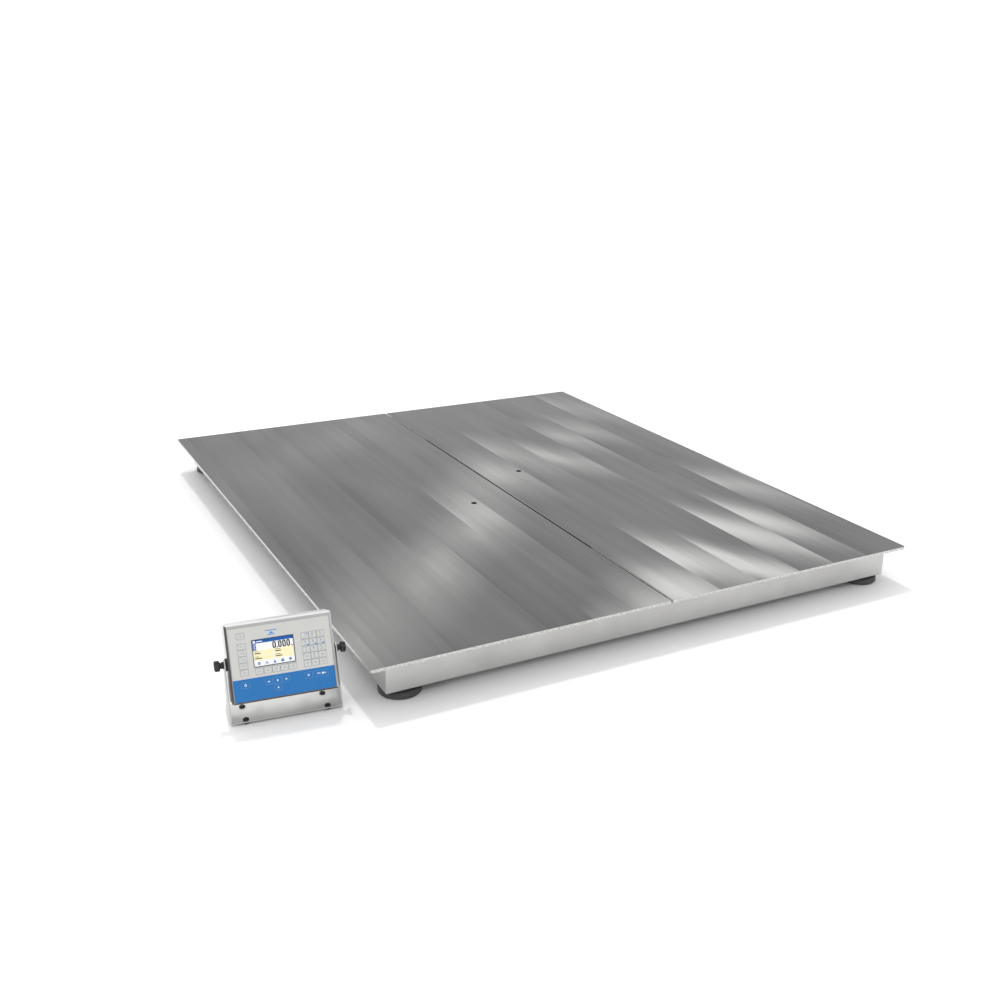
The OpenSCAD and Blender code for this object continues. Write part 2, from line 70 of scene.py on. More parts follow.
def make_camera():
    """The view from the front left, from about a metre up."""
    cam = bpy.data.cameras.new("camera")
    ob = bpy.data.objects.new("camera", cam)
    bpy.context.scene.collection.objects.link(ob)
    cam.sensor_width = 36
    cam.lens = 40.45
    cam.shift_x = -0.0185
    cam.clip_start = 0.05
    cam.clip_end = 60
    yaw, pitch, roll = math.radians(28.33), math.radians(20.01), math.radians(0.75)
    ahead = Vector((math.sin(yaw) * math.cos(pitch), math.cos(yaw) * math.cos(pitch), -math.sin(pitch)))
    right = Vector((math.cos(yaw), -math.sin(yaw), 0))
    up = right.cross(ahead)
    r = math.cos(roll) * right + math.sin(roll) * up
    u = -math.sin(roll) * right + math.cos(roll) * up
    m = Matrix((r, u, -ahead)).transposed().to_4x4()
    m.translation = Vector((DECK_MID.x - 1.2125, -2.3619, 1.0151))
    ob.matrix_world = m
    bpy.context.scene.camera = ob


make_camera()

# ---------------------------------------------------------------- node helpers


class Mat:
    """Small builder for node materials."""

    def __init__(self, name):
        self.m = bpy.data.materials.new(name)
        self.m.use_nodes = True
        self.t = self.m.node_tree
        self.t.nodes.clear()
        self.out = self.t.nodes.new("ShaderNodeOutputMaterial")
        self.b = self.t.nodes.new("ShaderNodeBsdfPrincipled")
        self.t.links.new(self.b.outputs[0], self.out.inputs[0])
        self.tc = self.t.nodes.new("ShaderNodeTexCoord")

    def n(self, kind, **kw):
        node = self.t.nodes.new("ShaderNode" + kind)
        for k, v in kw.items():
            if k in node.inputs:
                self.put(node.inputs[k], v)
            else:
                setattr(node, k, v)
        return node

    def put(self, socket, v):
        if isinstance(v, bpy.types.NodeSocket):
            self.t.links.new(v, socket)
        else:
            socket.default_value = v

    def set(self, **kw):
        for k, v in kw.items():
            self.put(self.b.inputs[k.replace("_", " ")], v)

    def coords(self, scale=(1, 1, 1), loc=(0, 0, 0)):
        """The piece's own coordinates, scaled and then moved."""
        mp = self.n("Mapping", vector_type="POINT")
        self.put(mp.inputs["Vector"], self.tc.outputs["Object"])
        mp.inputs["Scale"].default_value = scale
        mp.inputs["Location"].default_value = loc
        return mp.outputs[0]

    def noise(self, vec, scale, detail=3, rough=0.5, dist=0.0):
        nd = self.n("TexNoise", Scale=scale, Detail=detail, Roughness=rough, Distortion=dist)
        self.put(nd.inputs["Vector"], vec)
        return nd.outputs["Fac"]

    def ramp(self, fac, stops):
        r = self.n("ValToRGB")
        self.put(r.inputs[0], fac)
        els = r.color_ramp.elements
        while len(els) < len(stops):
            els.new(0.5)
        for e, (p, c) in zip(els, stops):
            e.position = p
            e.color = c if len(c) == 4 else (*c, 1)
        return r.outputs[0]

    def math(self, op, a, b=0.0):
        m = self.n("Math", operation=op)
        self.put(m.inputs[0], a)
        self.put(m.inputs[1], b)
        return m.outputs[0]

    def add(self, a, b):
        return self.math("ADD", a, b)

    def sub(self, a, b):
        return self.math("SUBTRACT", a, b)

    def mul(self, a, b):
        return self.math("MULTIPLY", a, b)

    def mix(self, fac, a, b):
        """a where fac is 0, b where it is 1."""
        m = self.n("Mix", data_type="RGBA")
        self.put(m.inputs[0], fac)
        self.put(m.inputs[6], a if isinstance(a, bpy.types.NodeSocket) or len(a) == 4 else (*a, 1))
        self.put(m.inputs[7], b if isinstance(b, bpy.types.NodeSocket) or len(b) == 4 else (*b, 1))
        return m.outputs[2]

    def vec(self, x=0.0, y=0.0, z=0.0):
        c = self.n("CombineXYZ")
        for k, v in zip("XYZ", (x, y, z)):
            self.put(c.inputs[k], v)
        return c.outputs[0]

    def span(self, v, lo, hi):
        """0 below lo, 1 above hi, smooth between."""
        r = self.n("MapRange", interpolation_type="SMOOTHSTEP")
        self.put(r.inputs["Value"], v)
        r.inputs["From Min"].default_value = lo
        r.inputs["From Max"].default_value = hi
        return r.outputs[0]

    def bump(self, height, strength, distance, normal=None):
        b = self.n("Bump", Strength=strength, Distance=distance)
        self.put(b.inputs["Height"], height)
        if normal is not None:
            self.put(b.inputs["Normal"], normal)
        return b.outputs[0]

    def bevel(self, radius):
        return self.n("Bevel", samples=4, Radius=radius).outputs[0]

    def hashed(self, v, seed):
        """A value from 0 to 1 that is fixed for each whole number v."""
        w = self.n("TexWhiteNoise", noise_dimensions="1D")
        self.put(w.inputs["W"], self.add(v, seed))
        return w.outputs["Value"]

    def facing(self, axis):
        """How far the surface faces along an axis, 1 to -1, in the piece's own rest frame."""
        d = self.n("VectorMath", operation="DOT_PRODUCT")
        self.put(d.inputs[0], self.tc.outputs["Normal"])
        d.inputs[1].default_value = axis
        return d.outputs["Value"]


def grey(v):
    return (v, v, v)


# ---------------------------------------------------------------- materials


STRIPS_PER_M = 10.0  # the deck was ground in strips about 100 mm wide
SHEEN_PERIOD = 0.82  # metres between two bands of painted sheen
HOLE_SHADE_R = 0.0068  # radius of the near-black disc of painted shade in a lifting hole
SEED_CHANCE, SEED_SHIFT, SEED_WANDER = 65.0, 154.0, 7.6


def deck_strips(m, x):
    """Strips of uneven width: a strip's number, how far across it a point is, and two values of its own."""
    wander = m.noise(m.vec(m.mul(x, 6.0), SEED_WANDER), 1.0, 1, 0.5)
    u = m.add(m.mul(x, STRIPS_PER_M), m.mul(wander, 1.1))
    strip = m.math("FLOOR", u)
    return strip, m.math("FRACT", u), m.hashed(strip, SEED_CHANCE), m.hashed(strip, SEED_SHIFT)


def deck_glow(m, x, y, across, chance, shift, low):
    """Bands of painted sheen that slant over the deck, each strip turning and shifting them a little."""
    right = m.span(x, 0.42, 0.80)
    reach = m.add(0.02, m.mul(right, m.add(0.10, m.mul(chance, 0.17))))
    stagger = m.add(0.06, m.mul(right, 0.30))
    s = m.add(m.sub(y, 1.38), m.mul(x, 0.95))
    s = m.sub(s, m.mul(m.sub(across, 0.5), reach))
    s = m.sub(s, m.mul(m.sub(low, 0.5), 0.26))
    s = m.sub(s, m.mul(m.sub(shift, 0.5), stagger))
    turn = m.add(m.mul(s, 1 / SHEEN_PERIOD), 0.5)
    band = m.math("FLOOR", turn)
    off = m.math("ABSOLUTE", m.sub(m.math("FRACT", turn), 0.5))
    off = m.mul(off, m.add(0.75, m.mul(shift, 0.45)))
    glow = m.sub(1.0, m.span(off, 0.0, 0.30))
    # the painted sheen band nearer the front right is stronger; both fade towards the deck's left and right ends
    power = m.add(0.44, m.mul(band, 0.32))
    power = m.mul(power, m.sub(1.0, m.mul(m.span(x, 1.08, 1.18), 0.45)))
    power = m.mul(power, m.add(0.74, m.mul(m.span(x, 0.10, 0.50), 0.26)))
    fade = m.sub(1.12, m.mul(m.mul(right, across), 0.42))
    power = m.mul(power, m.mul(fade, m.add(0.8, m.mul(chance, 0.4))))
    return m.mul(glow, power)


def steel_deck():
    """Ground plate with painted sheen slanting over the top, an even mill finish underneath and lighter cut edges
    that are partly a painted highlight.
    """
    m = Mat("deck_steel")
    sep = m.n("SeparateXYZ")
    m.put(sep.inputs[0], m.coords(loc=(-DECK_LO.x, -DECK_HI.y, 0)))
    # metres from the left edge and from the rear edge
    x, y = sep.outputs["X"], m.mul(sep.outputs["Y"], -1.0)
    strip, across, chance, shift = deck_strips(m, x)
    low = m.noise(m.coords((1.7, 1.2, 1), loc=(4.6, 8.2, 0)), 1.0, 2, 0.5)
    soft = m.noise(m.vec(m.mul(x, 46.0), m.mul(y, 1.3)), 1.0, 2, 0.5)
    streak = m.noise(m.vec(m.mul(x, 11.0), m.mul(y, 2.1), 7.0), 1.0, 1, 0.5)
    grain = m.noise(m.coords((900, 9, 900)), 1.0, 4, 0.6)
    # the first third of a strip is darker here and there, a painted shade against the crisp edge of its neighbour
    patches = m.noise(m.vec(m.mul(strip, 3.7), m.mul(y, 1.9)), 1.0, 1, 0.5)
    lee_shade = m.mul(m.math("POWER", m.sub(1.0, across), 3.0), m.span(patches, 0.42, 0.62))
    # the bands of painted sheen lift the deck's tone
    tone = m.add(0.165, deck_glow(m, x, y, across, chance, shift, low))
    tone = m.sub(tone, m.mul(lee_shade, 0.15))
    for pattern, share in ((soft, 0.22), (streak, 0.24), (low, 0.16), (grain, 0.07)):
        tone = m.add(tone, m.mul(m.sub(pattern, 0.5), share))
    face = m.ramp(tone, [
        (0.0, grey(0.064)), (0.2, grey(0.109)), (0.5, (0.19, 0.19, 0.187)), (1.0, (0.46, 0.457, 0.45)),
    ])
    below = m.math("GREATER_THAN", m.facing((0, 0, -1)), 0.5)
    face = m.mix(below, face, m.mix(soft, grey(0.15), grey(0.20)))
    # each lifting hole is painted near-black out to a set radius, a painted shade over its hollow and its walls
    for cx, cy in HOLES:
        gap = m.n("VectorMath", operation="DISTANCE")
        m.put(gap.inputs[0], m.vec(x, y))
        gap.inputs[1].default_value = (cx - DECK_LO.x, DECK_HI.y - cy, 0)
        face = m.mix(m.span(gap.outputs["Value"], HOLE_SHADE_R, HOLE_SHADE_R + 0.001), grey(0.006), face)
    # upright walls are cut edges, lighter and partly a painted highlight, except those of the holes, which lie
    # well inland and keep the painted shade of the holes
    inland = m.mul(m.span(y, 0.3, 0.31), m.sub(1.0, m.span(y, 1.19, 1.2)))
    inland = m.mul(inland, m.mul(m.span(x, 0.3, 0.31), m.sub(1.0, m.span(x, 0.94, 0.95))))
    edge = m.math("LESS_THAN", m.add(m.math("ABSOLUTE", m.facing((0, 0, 1))), inland), 0.5)
    # the cut edges' lighter tone with nicks is partly bare cut metal and partly a painted highlight
    nick = m.noise(m.coords((160, 160, 300)), 1.0, 3, 0.6)
    bright = m.ramp(nick, [(0.35, (0.46, 0.455, 0.44)), (0.6, (0.70, 0.695, 0.675))])
    rough = m.add(0.36, m.mul(grain, 0.12))
    m.set(Base_Color=m.mix(edge, face, bright), Metallic=0.9, Roughness=rough, Anisotropic=0.4)
    m.put(m.b.inputs["Tangent"], m.n("Tangent", direction_type="RADIAL", axis="X").outputs[0])
    m.put(m.b.inputs["Normal"], m.bump(grain, 0.06, 0.0002, m.bevel(0.0010)))
    return m.m


def brushed(name, base, rough, along, metallic, cloud, bevel, tint=(1, 1, 0.985)):
    """Brushed sheet with grain along one direction and light handling marks, and its colour."""
    m = Mat(name)
    grain = m.noise(m.coords(along), 1.0, 4, 0.65)
    soft = m.noise(m.coords((7, 7, 9)), 1.0, 3, 0.55, 0.5)
    spots = m.noise(m.coords((60, 60, 80)), 1.0, 4, 0.6)
    v = m.add(m.mul(m.sub(soft, 0.5), cloud * 2), 1.0)
    v = m.mul(v, m.add(0.97, m.mul(grain, 0.06)))
    col = m.ramp(m.mul(v, 0.5), [(0.0, (0, 0, 0)), (1.0, [2 * base * t for t in tint])])
    r = m.add(m.add(rough - 0.05, m.mul(grain, 0.08)), m.mul(spots, 0.06))
    m.set(Base_Color=col, Metallic=metallic, Roughness=r, Anisotropic=0.3)
    m.put(m.b.inputs["Normal"], m.bump(grain, 0.05, 0.0002, m.bevel(bevel)))
    return m, col


def steel(*args):
    return brushed(*args)[0].m


def skirt_steel():
    """The frame's sheet, with a painted highlight along the line of its fold at the bottom."""
    m, col = brushed("frame_steel", 0.54, 0.36, (9, 9, 900), 0.85, 0.22, 0.0012, (1, 0.995, 0.975))
    sep = m.n("SeparateXYZ")
    m.put(sep.inputs[0], m.tc.outputs["Object"])
    # the band along the bottom fold is a painted highlight
    fold = m.math("LESS_THAN", sep.outputs["Z"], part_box("frame_end_rails")[0][2] + 0.0028)
    m.set(Base_Color=m.mix(fold, col, (0.52, 0.517, 0.505)))
    return m.m


def rubber(name, base=0.03, rough=0.55, dust=0.05):
    m = Mat(name)
    fine = m.noise(m.coords((900, 900, 900)), 1.0, 3, 0.6)
    soft = m.noise(m.coords((40, 40, 40)), 1.0, 3, 0.6)
    col = m.mix(m.mul(soft, 0.6), grey(base), grey(base + dust))
    m.set(Base_Color=col, Roughness=m.add(rough, m.mul(soft, 0.15)))
    m.b.inputs["Specular IOR Level"].default_value = 0.4
    m.put(m.b.inputs["Normal"], m.bump(fine, 0.12, 0.0002, m.bevel(0.0006)))
    return m.m


def plastic(name, col, rough=0.4, bump=0.05, bevel=0.0004, vary=0.06):
    m = Mat(name)
    fine = m.noise(m.coords((1500, 1500, 1500)), 1.0, 2, 0.5)
    soft = m.noise(m.coords((25, 25, 25)), 1.0, 3, 0.6)
    dark = [c * (1 - vary) for c in col]
    light = [min(1, c * (1 + vary)) for c in col]
    m.set(Base_Color=m.mix(soft, dark, light), Roughness=m.add(rough, m.mul(fine, 0.08)))
    m.put(m.b.inputs["Normal"], m.bump(fine, bump, 0.0001, m.bevel(bevel)))
    return m.m


def ink(name, col, rough=0.45, glow=0.0):
    """Printed ink or a lit display segment, with a slight mottle."""
    m = Mat(name)
    fine = m.noise(m.coords((2500, 2500, 2500)), 1.0, 2, 0.5)
    c = m.mix(m.mul(fine, 0.5), [v * 0.96 for v in col], col)
    m.set(Base_Color=c, Roughness=m.add(rough, m.mul(fine, 0.05)))
    if glow:
        m.put(m.b.inputs["Emission Color"], c)
        m.b.inputs["Emission Strength"].default_value = glow
    return m.m


# the head's own axes: X along the tilt axis, Y into the face, Z up the face
TILT = JOINTS["indicator_tilt"]
HX = Vector(TILT["axis"]).normalized()
HY = Vector(JOINTS["key_power_press"]["axis"]).normalized()
HZ = HX.cross(HY).normalized()
HEAD = Matrix((HX, HY, HZ)).transposed().to_4x4()
HEAD.translation = Vector(TILT["pos_m"])
HEAD_INV = HEAD.inverted()
STRIP_TOP = -26.8  # height of the blue band's upper edge, mm from the tilt axis


def on_head(x, y, z):
    """A point of the head, given in its own axes in millimetres."""
    return HEAD @ (Vector((x, y, z)) * MM)


def hbox(node):
    """A node's box in the head's own axes, in millimetres."""
    co = np.array([HEAD_INV @ v.co for v in NODES[node].data.vertices]) * 1000
    return co.min(0), co.max(0)


def overlay_material():
    """Warm grey print above a blue band."""
    m = Mat("overlay_print")
    rot = HEAD.to_euler("XYZ")
    vt = m.n("VectorRotate", rotation_type="EULER_XYZ", invert=True)
    m.put(vt.inputs["Vector"], m.tc.outputs["Object"])
    vt.inputs["Center"].default_value = HEAD.translation
    vt.inputs["Rotation"].default_value = rot
    sep = m.n("SeparateXYZ")
    m.put(sep.inputs[0], vt.outputs[0])
    z = m.sub(sep.outputs["Z"], HEAD.translation.z)
    band = m.math("LESS_THAN", z, STRIP_TOP * MM)
    fine = m.noise(m.coords((1800, 1800, 1800)), 1.0, 2, 0.5)
    soft = m.noise(m.coords((14, 14, 14)), 1.0, 2, 0.5)
    warm = m.mix(soft, (0.595, 0.595, 0.572), (0.635, 0.635, 0.61))
    blue = m.mix(soft, (0.006, 0.150, 0.44), (0.010, 0.175, 0.49))
    m.set(Base_Color=m.mix(band, warm, blue), Roughness=m.add(0.36, m.mul(fine, 0.1)))
    m.put(m.b.inputs["Normal"], m.bump(fine, 0.05, 0.0001, m.bevel(0.0003)))
    return m.m


def bezel_material():
    """Brushed rim with painted shade on its left and lower bevels and a painted highlight on its upper faces."""
    m = Mat("bezel_steel")
    grain = m.noise(m.coords((900, 12, 12)), 1.0, 4, 0.65)
    # faces turned left or down get painted shade, faces turned up a painted highlight
    left = m.span(m.facing(-HX), 0.35, 0.6)
    low = m.span(m.facing(-HZ), 0.35, 0.6)
    top = m.span(m.facing(HZ), 0.35, 0.6)
    col = m.mix(grain, grey(0.50), grey(0.58))
    col = m.mix(top, col, grey(0.70))
    col = m.mix(left, col, (0.085, 0.083, 0.08))
    col = m.mix(low, col, (0.13, 0.105, 0.085))
    m.set(Base_Color=col, Metallic=0.85, Roughness=m.add(0.26, m.mul(grain, 0.1)))
    m.put(m.b.inputs["Normal"], m.bump(grain, 0.04, 0.0002, m.bevel(0.0004)))
    return m.m


def glass_material():
    m = Mat("window_glass")
    fine = m.noise(m.coords((30, 30, 30)), 1.0, 2, 0.5)
    m.set(Base_Color=(0.02, 0.02, 0.025, 1), Roughness=m.mul(fine, 0.06), IOR=1.3, Alpha=0.05)
    m.b.inputs["Transmission Weight"].default_value = 0.0
    return m.m


def board_material():
    m = Mat("board_green")
    v = m.n("TexVoronoi", Scale=260.0)
    m.put(v.inputs["Vector"], m.tc.outputs["Object"])
    col = m.ramp(v.outputs["Distance"], [(0.3, (0.01, 0.10, 0.04)), (0.5, (0.02, 0.16, 0.07))])
    m.set(Base_Color=col, Roughness=0.4)
    return m.m


MATS = {
    "deck": steel_deck(),
    "frame": skirt_steel(),
    "inner": steel("inner_steel", 0.42, 0.5, (500, 20, 20), 0.8, 0.2, 0.001),
    "hinge": steel("hinge_steel", 0.5, 0.35, (200, 200, 200), 0.95, 0.1, 0.0006),
    "cell": steel("cell_steel", 0.62, 0.25, (20, 600, 20), 1.0, 0.05, 0.0006),
    "bolt": steel("bolt_steel", 0.4, 0.35, (300, 300, 300), 1.0, 0.15, 0.0004),
    "box": steel("box_steel", 0.55, 0.3, (20, 700, 20), 0.9, 0.08, 0.0008),
    "bracket": steel("bracket_steel", 0.57, 0.42, (900, 12, 12), 0.7, 0.05, 0.0005),
    "housing": steel("housing_steel", 0.60, 0.33, (900, 12, 12), 0.85, 0.06, 0.0012),
    "bezel": bezel_material(),
    "foot": rubber("foot_rubber", 0.045, 0.5, 0.04),
    "seal": rubber("seal_rubber", 0.02, 0.6, 0.03),
    "bumper": rubber("bumper_rubber", 0.008, 0.45, 0.01),
    "lead": rubber("lead_rubber", 0.02, 0.5, 0.02),
    "gland": plastic("gland_plastic", (0.02, 0.02, 0.022), 0.45, 0.05),
    "washer": plastic("washer_plastic", (0.035, 0.035, 0.035), 0.35, 0.08),
    "knob": plastic("knob_plastic", (0.012, 0.012, 0.012), 0.38, 0.08),
    "overlay": overlay_material(),
    "glass": glass_material(),
    "module": plastic("module_plastic", (0.02, 0.022, 0.025), 0.5),
    "board": board_material(),
    "key_grey": plastic("key_print", (0.615, 0.615, 0.592), 0.42, 0.03, 0.0003, 0.03),
    "key_blue": plastic("key_blue_print", (0.008, 0.162, 0.465), 0.4, 0.03, 0.0003, 0.03),
}
SLOTS = {
    "deck_plate": "deck", "deck_underside": "inner", "frame_sheet": "frame", "frame_inner": "inner",
    "seal_rubber": "seal", "hinge_steel": "hinge", "cell_steel": "cell", "bolt_steel": "bolt",
    "foot_rubber": "foot", "stud_steel": "bolt", "box_steel": "box", "gland_plastic": "gland",
    "lead_rubber": "lead", "bracket_sheet": "bracket", "bumper_rubber": "bumper", "housing_sheet": "housing",
    "overlay_sheet": "overlay", "window_glass": "glass", "display_module": "module",
    "board_laminate": "board", "washer_plastic": "washer", "knob_plastic": "knob",
    "key_grey": "key_grey", "key_blue": "key_blue",
}
for sub in frame["record"]["subparts"]:
    ob = NODES[sub["node"]]
    ob.data.materials.clear()
    ob.data.materials.append(MATS[SLOTS[sub["material_slot"]]])

# ---------------------------------------------------------------- flat printed shapes on the head


def new_object(name, bm, mat, body, smooth=False):
    """Turns a bmesh into a piece that rides on a body."""
    me = bpy.data.meshes.new(name)
    bm.to_mesh(me)
    bm.free()
    for p in me.polygons:
        p.use_smooth = smooth
    me.materials.append(mat)
    ob = bpy.data.objects.new(name, me)
    bpy.context.scene.collection.objects.link(ob)
    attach(ob, body)
    return ob


def prism(bm, pts, y, depth):
    """A flat outline (x, z in mm on the head's face) standing depth out of the plane y."""
    front = [bm.verts.new(on_head(x, y - depth, z)) for x, z in pts]
    back = [bm.verts.new(on_head(x, y, z)) for x, z in pts]
    bm.faces.new(front)
    bm.faces.new(back[::-1])
    n = len(pts)
    for i in range(n):
        j = (i + 1) % n
        bm.faces.new((front[j], front[i], back[i], back[j]))


def rounded(cx, cz, w, h, r, k=5):
    """Points of a rounded rectangle, k steps to a corner."""
    pts = []
    for qx, qz, a0 in ((1, 1, 0), (-1, 1, 90), (-1, -1, 180), (1, -1, 270)):
        for i in range(k + 1):
            a = math.radians(a0 + 90 * i / k)
            pts.append((cx + qx * (w / 2 - r) + r * math.cos(a), cz + qz * (h / 2 - r) + r * math.sin(a)))
    return pts


def ring(bm, cx, cz, w, h, r, t, y, depth):
    """A thin outline round a rounded rectangle."""
    o, i = rounded(cx, cz, w, h, r), rounded(cx, cz, w - 2 * t, h - 2 * t, max(0.2, r - t))
    n = len(o)
    fo, fi = ([bm.verts.new(on_head(x, y - depth, z)) for x, z in pts] for pts in (o, i))
    bo, bi = ([bm.verts.new(on_head(x, y, z)) for x, z in pts] for pts in (o, i))
    for a in range(n):
        b = (a + 1) % n
        bm.faces.new((fo[a], fo[b], fi[b], fi[a]))
        bm.faces.new((fo[b], fo[a], bo[a], bo[b]))
        bm.faces.new((fi[a], fi[b], bi[b], bi[a]))
        bm.faces.new((bo[b], bo[a], bi[a], bi[b]))


INK_DARK = ink("ink_dark", (0.13, 0.19, 0.28))
INK_LINE = ink("ink_line", (0.44, 0.50, 0.57))
# white print on the blue keys, with a faint painted glow though nothing lights it
INK_WHITE_GLOW = ink("ink_white_glow", (0.93, 0.95, 0.98), 0.45, 0.1)
INK_SKY = ink("ink_sky", (0.06, 0.28, 0.66))
INK_PALE = ink("ink_pale", (0.17, 0.43, 0.76))

SEGS = {
    "0": "abcdef", "1": "bc", "2": "abged", "3": "abgcd", "4": "fgbc",
    "5": "afgcd", "6": "afgedc", "7": "abc", "8": "abcdefg", "9": "abcdfg",
}


def digit(bm, ch, cx, cz, w, h, t, y, depth):
    """A plain stroke numeral made of straight bars."""
    bars = {
        "a": (0, h / 2 - t / 2, w, t), "d": (0, -h / 2 + t / 2, w, t), "g": (0, 0, w, t),
        "f": (-w / 2 + t / 2, h / 4, t, h / 2), "b": (w / 2 - t / 2, h / 4, t, h / 2),
        "e": (-w / 2 + t / 2, -h / 4, t, h / 2), "c": (w / 2 - t / 2, -h / 4, t, h / 2),
    }
    for s in SEGS[ch]:
        x, z, bw, bh = bars[s]
        prism(bm, rounded(cx + x, cz + z, bw, bh, t * 0.3, 2), y, depth)


def poly(cx, cz, r, n, a0=0.0):
    turns = [math.radians(a0) + 2 * math.pi * i / n for i in range(n)]
    return [(cx + r * math.cos(a), cz + r * math.sin(a)) for a in turns]


def arrow(cx, cz, s, a):
    """Outline of a block arrow of half height s that points up when a is 0."""
    pts = [(0, 1), (0.9, 0.0), (0.35, 0.0), (0.35, -0.9), (-0.35, -0.9), (-0.35, 0.0), (-0.9, 0.0)]
    c, d = math.cos(math.radians(a)), math.sin(math.radians(a))
    return [(cx + s * (x * c - z * d), cz + s * (x * d + z * c)) for x, z in pts][::-1]


KEYS = [n for n in NODES if n.startswith("key_")]
ARROWS = {"key_left": 90, "key_up": 0, "key_right": -90, "key_down": 180}
BLUE_KEYS = {"key_power", "key_escape", "key_enter", *ARROWS}
LIFT = 0.03  # how far the print stands off the face, mm


def key_face(node):
    """Centre, width, height and front plane of a key, in the head's axes."""
    lo, hi = hbox(node)
    return (lo[0] + hi[0]) / 2, (lo[2] + hi[2]) / 2, hi[0] - lo[0], hi[2] - lo[2], lo[1]


def dress_keys():
    for node in KEYS:
        cx, cz, w, h, y = key_face(node)
        body = "press_" + node
        blue = node in BLUE_KEYS
        bm = bmesh.new()
        ring(bm, cx, cz, w - 0.2, h - 0.2, 1.1, 0.4, y, LIFT)
        new_object("outline_" + node, bm, INK_PALE if blue else INK_LINE, body)
        bm = bmesh.new()
        if node == "key_power":
            ring(bm, cx, cz - 0.2, 4.2, 4.2, 2.0, 0.6, y, LIFT)
            prism(bm, rounded(cx, cz + 1.7, 0.7, 2.4, 0.3, 2), y, LIFT * 1.5)
        elif node in ARROWS:
            prism(bm, arrow(cx, cz, 1.9, ARROWS[node]), y, LIFT)
        elif node == "key_escape":
            for a in (45, -45):
                c, s = math.cos(math.radians(a)), math.sin(math.radians(a))
                bar = rounded(0, 0, 4.4, 0.8, 0.3, 2)
                prism(bm, [(cx + x * c - z * s, cz + x * s + z * c) for x, z in bar], y, LIFT)
        elif node == "key_enter":
            prism(bm, rounded(cx - 3.4, cz, 6.5, 0.7, 0.3, 2), y, LIFT)
            prism(bm, rounded(cx - 4.4, cz + 1.3, 4.0, 0.5, 0.2, 2), y, LIFT)
            prism(bm, poly(cx + 3.6, cz, 1.7, 20), y, LIFT)
            prism(bm, arrow(cx + 7.6, cz, 1.6, 90), y, LIFT)
        elif node.startswith("key_side"):
            i = int(node[-1])
            if i == 1:
                ring(bm, cx, cz, 3.4, 3.4, 1.6, 0.4, y, LIFT)
            else:
                digit(bm, str(i - 1), cx + 2.2, cz, 1.5, 2.6, 0.4, y, LIFT)
                prism(bm, rounded(cx - 1.6, cz + 0.9, 3.4, 0.4, 0.15, 2), y, LIFT)
                prism(bm, rounded(cx - 1.6, cz - 0.9, 2.6, 0.4, 0.15, 2), y, LIFT)
        else:
            i = int(node[-1])
            prism(bm, rounded(cx - 1.3, cz, 0.45, 2.6, 0.15, 2), y, LIFT)
            prism(bm, rounded(cx - 0.6, cz + 1.1, 1.4, 0.4, 0.15, 2), y, LIFT)
            prism(bm, rounded(cx - 0.8, cz, 1.0, 0.4, 0.15, 2), y, LIFT)
            digit(bm, str(i), cx + 1.6, cz, 1.4, 2.6, 0.4, y, LIFT)
        new_object("legend_" + node, bm, INK_WHITE_GLOW if blue else INK_DARK, body)
    # the numeric block: five rows of three, in cells of one size
    lo, hi = hbox("keys_numeric")
    kw, kh, y = 12.5, 11.0, lo[1]
    xs = [lo[0] + kw / 2 + c * (hi[0] - lo[0] - kw) / 2 for c in range(3)]
    zs = [hi[2] - kh / 2 - r * (hi[2] - lo[2] - kh) / 4 for r in range(5)]
    lines, legends, dots = bmesh.new(), bmesh.new(), bmesh.new()
    for r, row in enumerate(("123", "456", "789", " 0 ", "   ")):
        for c, ch in enumerate(row):
            x, z = xs[c], zs[r]
            ring(lines, x, z, kw - 0.2, kh - 0.2, 1.1, 0.4, y, LIFT)
            if ch == " ":
                prism(legends, rounded(x, z + 0.7, 5.6, 0.5, 0.2, 2), y, LIFT)
                prism(legends, rounded(x, z - 1.0, 4.0, 0.5, 0.2, 2), y, LIFT)
                continue
            digit(legends, ch, x - 0.6, z + 1.6, 2.2, 4.0, 0.55, y, LIFT)
            prism(legends, rounded(x - 0.4, z - 2.6, 5.0, 0.5, 0.2, 2), y, LIFT)
    prism(dots, poly(xs[0] + 3.4, zs[0] + 3.4, 1.1, 16), y, LIFT * 1.5)
    for x in xs:
        prism(dots, poly(x + 3.8, (zs[1] + zs[2]) / 2 + 1.5, 1.7, 20), y, LIFT * 1.5)
    new_object("outline_keys_numeric", lines, INK_LINE, "press_keys_numeric")
    new_object("legend_keys_numeric", legends, INK_DARK, "press_keys_numeric")
    new_object("dots_keys_numeric", dots, INK_SKY, "press_keys_numeric")


dress_keys()


def draw_readout(bm, left, right, mid, y):
    """Four noughts with a point after the first, and a small mark for the unit."""
    dw, dh, pitch, stroke = 5.9, 11.8, 7.05, 2.1
    foot = mid - dh / 2
    for i in range(4):
        cx = left + i * pitch + (2.6 if i else 0) - 2.4
        ring(bm, cx, mid, dw, dh, dw / 2 - 0.1, stroke, y, 0.1)
    prism(bm, rounded(left + 2.3, foot + 1.1, 2.1, 2.1, 0.4, 3), y, 0.1)
    for k in range(2):
        prism(bm, rounded(right - 3.2 + 1.6 * k, foot + 0.9, 1.1, 1.8, 0.3, 2), y, 0.1)


